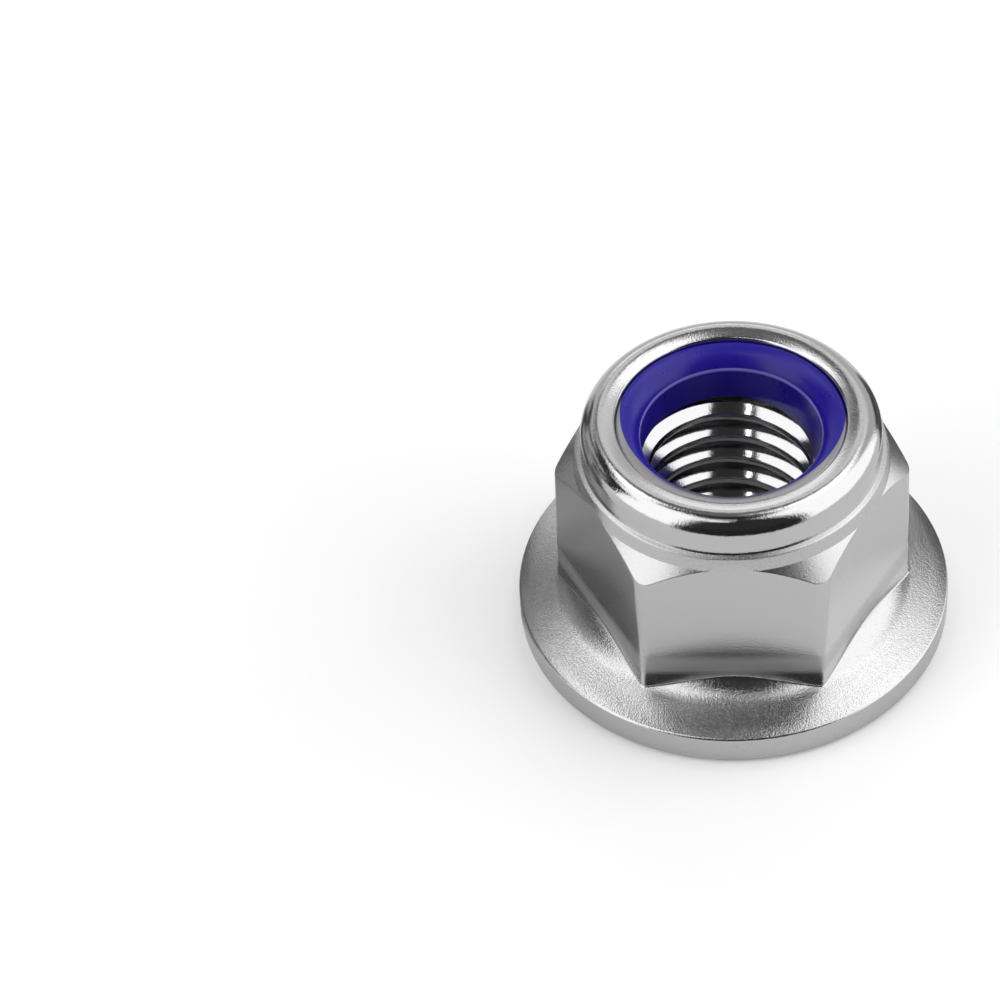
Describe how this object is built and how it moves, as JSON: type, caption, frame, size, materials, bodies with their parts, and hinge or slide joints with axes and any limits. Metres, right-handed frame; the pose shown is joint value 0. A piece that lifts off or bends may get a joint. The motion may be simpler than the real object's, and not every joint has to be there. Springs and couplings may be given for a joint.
{
  "type": "nylon insert lock nut",
  "caption": "Hexagon lock nut with a wide flange, a threaded bore with a countersunk mouth, and a nylon locking ring held in a rolled collar.",
  "frame": {"origin": "centre of the bearing face, on the axis of the thread", "axes": "+Z along the axis, from the bearing face to the rolled collar; one flat of the hexagon faces -Y"},
  "size_m": [0.0178, 0.0178, 0.0109],
  "materials": {
    "steel": "plain stainless steel, turned smooth on the collar, grainy on the forged flange and flats",
    "nylon": "smooth blue-violet nylon"
  },
  "bodies": {
    "root": {"nut_body": "steel", "locking_ring": "nylon"}
  },
  "joints": []
}
